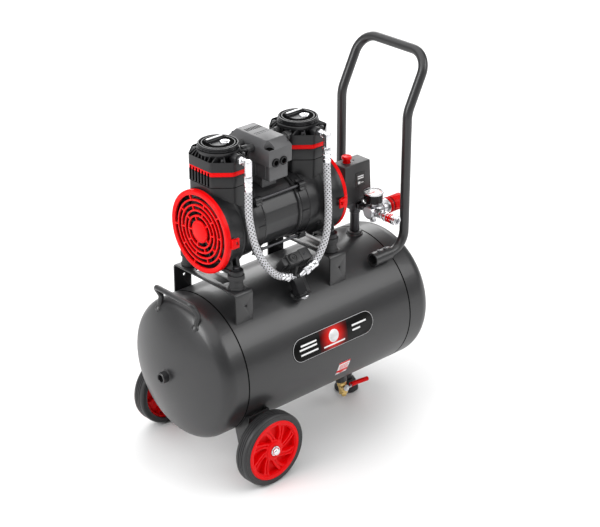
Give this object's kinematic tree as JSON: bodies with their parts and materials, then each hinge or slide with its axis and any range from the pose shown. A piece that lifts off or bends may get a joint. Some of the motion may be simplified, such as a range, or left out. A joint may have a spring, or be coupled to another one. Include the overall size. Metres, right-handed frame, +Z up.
{
  "type": "portable air compressor",
  "caption": "Portable oil-free air compressor: a motor with a pump at each end on a lying round tank, with wheels, a foot, handles, hoses, a pressure switch and a regulator.",
  "frame": {"origin": "middle of the overall footprint, on the floor", "axes": "+X along the tank towards the push handle, +Y to the side away from the hoses and the gauge, +Z up"},
  "size_m": [0.5816, 0.3386, 0.6981],
  "materials": {
    "tank_paint": "satin powder coat",
    "housing_paint": "matt paint on die castings",
    "black_plastic": "fine-grained moulding",
    "grey_plastic": "fine-grained moulding",
    "red_plastic": "glossy moulding",
    "rubber": "matt black",
    "tyre_rubber": "matt black",
    "chrome": "bright plate",
    "steel": "machined",
    "copper": "enamelled copper winding",
    "brass": "machined",
    "steel_braid": "woven stainless braid"
  },
  "bodies": {
    "frame": {"axle_far": "chrome", "axle_near": "chrome", "check_valve": "steel", "coupler_core": "chrome", "crankcase_front": "housing_paint", "crankcase_rear": "housing_paint", "cylinder_head_front": "housing_paint", "cylinder_head_rear": "housing_paint", "drain_valve_body": "brass", "fan_guard_front": "red_plastic", "fan_guard_rear": "red_plastic", "filter_cap_front": "black_plastic", "filter_cap_rear": "black_plastic", "foot_post": "tank_paint", "foot_rubber": "rubber", "front_handle": "tank_paint", "gauge_case": "black_plastic", "handle_socket_far": "tank_paint", "handle_socket_near": "tank_paint", "hose_elbow_front": "chrome", "hose_elbow_rear": "chrome", "hose_front": "steel_braid", "hose_rear": "steel_braid", "junction_box": "grey_plastic", "motor_barrel": "black_plastic", "motor_stator": "copper", "outlet_riser": "tank_paint", "pressure_switch": "black_plastic", "push_handle": "tank_paint", "regulator_body": "chrome", "rubber_mount_front_far": "rubber", "rubber_mount_front_near": "rubber", "rubber_mount_rear_far": "rubber", "rubber_mount_rear_near": "rubber", "saddle_front": "tank_paint", "saddle_rear": "tank_paint", "tank_head_front": "tank_paint", "tank_head_rear": "tank_paint", "tank_shell": "tank_paint", "transfer_pipe_front": "housing_paint", "transfer_pipe_rear": "housing_paint", "unloader_valve": "black_plastic", "valve_plate_front": "red_plastic", "valve_plate_rear": "red_plastic", "wheel_bracket_far": "tank_paint", "wheel_bracket_near": "tank_paint"},
    "wheel_near": {"wheel_hub_near": "red_plastic", "tyre_near": "tyre_rubber"},
    "wheel_far": {"wheel_hub_far": "red_plastic", "tyre_far": "tyre_rubber"},
    "rotor": {"motor_rotor": "steel", "fan_front": "black_plastic", "fan_rear": "black_plastic"},
    "piston_front": {"piston_front": "steel"},
    "piston_rear": {"piston_rear": "steel"},
    "drain_lever": {"drain_lever": "red_plastic"},
    "switch_knob": {"switch_knob": "red_plastic"},
    "regulator_knob": {"regulator_knob": "red_plastic"},
    "gauge_needle": {"gauge_needle": "red_plastic"},
    "coupler_sleeve": {"coupler_sleeve": "chrome"}
  },
  "joints": [
    {"name": "wheel_near_spin", "type": "hinge", "parent": "frame", "child": "wheel_near", "pos_m": [-0.16435, -0.149, 0.0701], "axis": [0, 1, 0], "continuous": true},
    {"name": "wheel_far_spin", "type": "hinge", "parent": "frame", "child": "wheel_far", "pos_m": [-0.16435, 0.149, 0.0701], "axis": [0, 1, 0], "continuous": true},
    {"name": "rotor_spin", "type": "hinge", "parent": "frame", "child": "rotor", "pos_m": [-0.05085, 0, 0.454], "axis": [1, 0, 0], "continuous": true},
    {"name": "piston_front_stroke", "type": "slide", "parent": "frame", "child": "piston_front", "axis": [0, 0, 1], "range_m": [-0.009, 0.009]},
    {"name": "piston_rear_stroke", "type": "slide", "parent": "frame", "child": "piston_rear", "axis": [0, 0, 1], "range_m": [-0.009, 0.009]},
    {"name": "drain_lever_turn", "type": "hinge", "parent": "frame", "child": "drain_lever", "pos_m": [0.11465, -0.04529, 0.04077], "axis": [0, 0.9613, -0.2756], "range_deg": [0, 30]},
    {"name": "switch_knob_pull", "type": "slide", "parent": "frame", "child": "switch_knob", "axis": [0, 0, 1], "range_m": [0, 0.006]},
    {"name": "regulator_knob_turn", "type": "hinge", "parent": "frame", "child": "regulator_knob", "pos_m": [0.23865, -0.0485, 0.3947], "axis": [1, 0, 0], "range_deg": [-540, 540]},
    {"name": "gauge_needle_turn", "type": "hinge", "parent": "frame", "child": "gauge_needle", "pos_m": [0.18505, -0.0485, 0.4327], "axis": [0, 0, -1], "range_deg": [0, 270]},
    {"name": "coupler_sleeve_pull", "type": "slide", "parent": "frame", "child": "coupler_sleeve", "axis": [0, 1, 0], "range_m": [0, 0.005], "stiffness_N_per_m": 400, "springref_m": -0.001}
  ]
}
